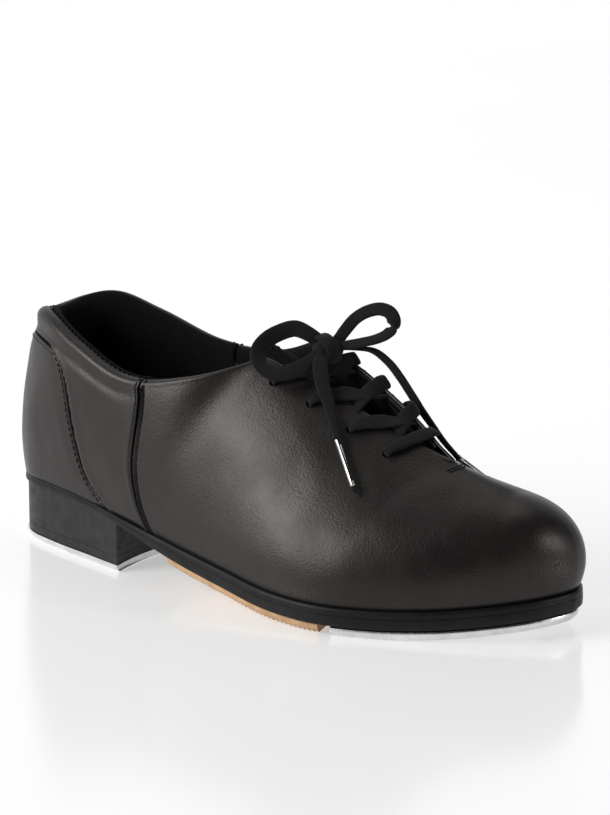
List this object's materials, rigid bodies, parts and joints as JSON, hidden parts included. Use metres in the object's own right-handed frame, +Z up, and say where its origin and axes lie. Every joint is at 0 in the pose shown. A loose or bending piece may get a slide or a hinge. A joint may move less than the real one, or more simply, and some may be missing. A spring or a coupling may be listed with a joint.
{
  "type": "lace-up tap shoe",
  "caption": "Right-foot lace-up oxford tap shoe in black leather with a padded collar, low stacked heel, tied flat laces and metal taps under heel and toe.",
  "frame": {"origin": "on the ground under the middle of the shoe's box, measured without the loose lace ends and bow loops", "axes": "+X toward the toe, +Y toward the inner side of a right foot, +Z up"},
  "size_m": [0.2594, 0.0936, 0.1156],
  "materials": {
    "black_leather": "soft satin black leather with a fine grain",
    "black_lining": "matte black cloth",
    "stiffener_board": "matte fibre board",
    "collar_foam_grey": "open-cell foam",
    "sole_black": "satin black sole edge",
    "heel_black": "satin black, faintly layered",
    "sound_board_black": "matte black fibre board",
    "cork_filler": "matte granular cork",
    "ball_pad_tan": "matte tan, finely ribbed",
    "tap_aluminium": "polished, with bright bevelled edges",
    "plain_steel": "plain bright steel",
    "lace_cotton": "matte black flat cotton braid"
  },
  "bodies": {
    "shoe": {"vamp": "black_leather", "quarter_lateral": "black_leather", "quarter_medial": "black_leather", "counter_cover": "black_leather", "vamp_lining": "black_lining", "quarter_lining": "black_lining", "sock_liner": "black_lining", "heel_counter": "stiffener_board", "toe_puff": "stiffener_board", "eyelet_stay_lateral": "stiffener_board", "eyelet_stay_medial": "stiffener_board", "insole_board": "stiffener_board", "collar_foam": "collar_foam_grey", "welt": "sole_black", "outsole": "sole_black", "heel_block": "heel_black", "heel_lift": "heel_black", "sound_board": "sound_board_black", "bottom_filler": "cork_filler", "ball_pad": "ball_pad_tan", "heel_tap": "tap_aluminium", "toe_tap": "tap_aluminium", "aglet_lateral": "tap_aluminium", "aglet_medial": "tap_aluminium", "shank": "plain_steel", "toe_tap_screw_1": "plain_steel", "toe_tap_screw_2": "plain_steel", "toe_tap_screw_3": "plain_steel", "heel_tap_screw_1": "plain_steel", "heel_tap_screw_2": "plain_steel", "heel_tap_screw_3": "plain_steel", "heel_nail_1": "plain_steel", "heel_nail_2": "plain_steel", "heel_nail_3": "plain_steel", "heel_nail_4": "plain_steel", "lace_bar": "lace_cotton", "lace_cross_a_lateral": "lace_cotton", "lace_cross_a_medial": "lace_cotton", "lace_cross_b_lateral": "lace_cotton", "lace_cross_b_medial": "lace_cotton", "lace_cross_c_lateral": "lace_cotton", "lace_cross_c_medial": "lace_cotton", "bow_knot": "lace_cotton", "bow_loop_lateral": "lace_cotton", "bow_loop_medial": "lace_cotton", "lace_end_lateral": "lace_cotton", "lace_end_medial": "lace_cotton"},
    "tongue": {"tongue": "black_lining"}
  },
  "joints": [
    {"name": "tongue_hinge", "type": "hinge", "parent": "shoe", "child": "tongue", "pos_m": [0.07584, 0.00188, 0.05714], "axis": [0, -1, 0], "range_deg": [0, 12], "stiffness_Nm_per_rad": 0.03, "springref_deg": -17.19}
  ]
}
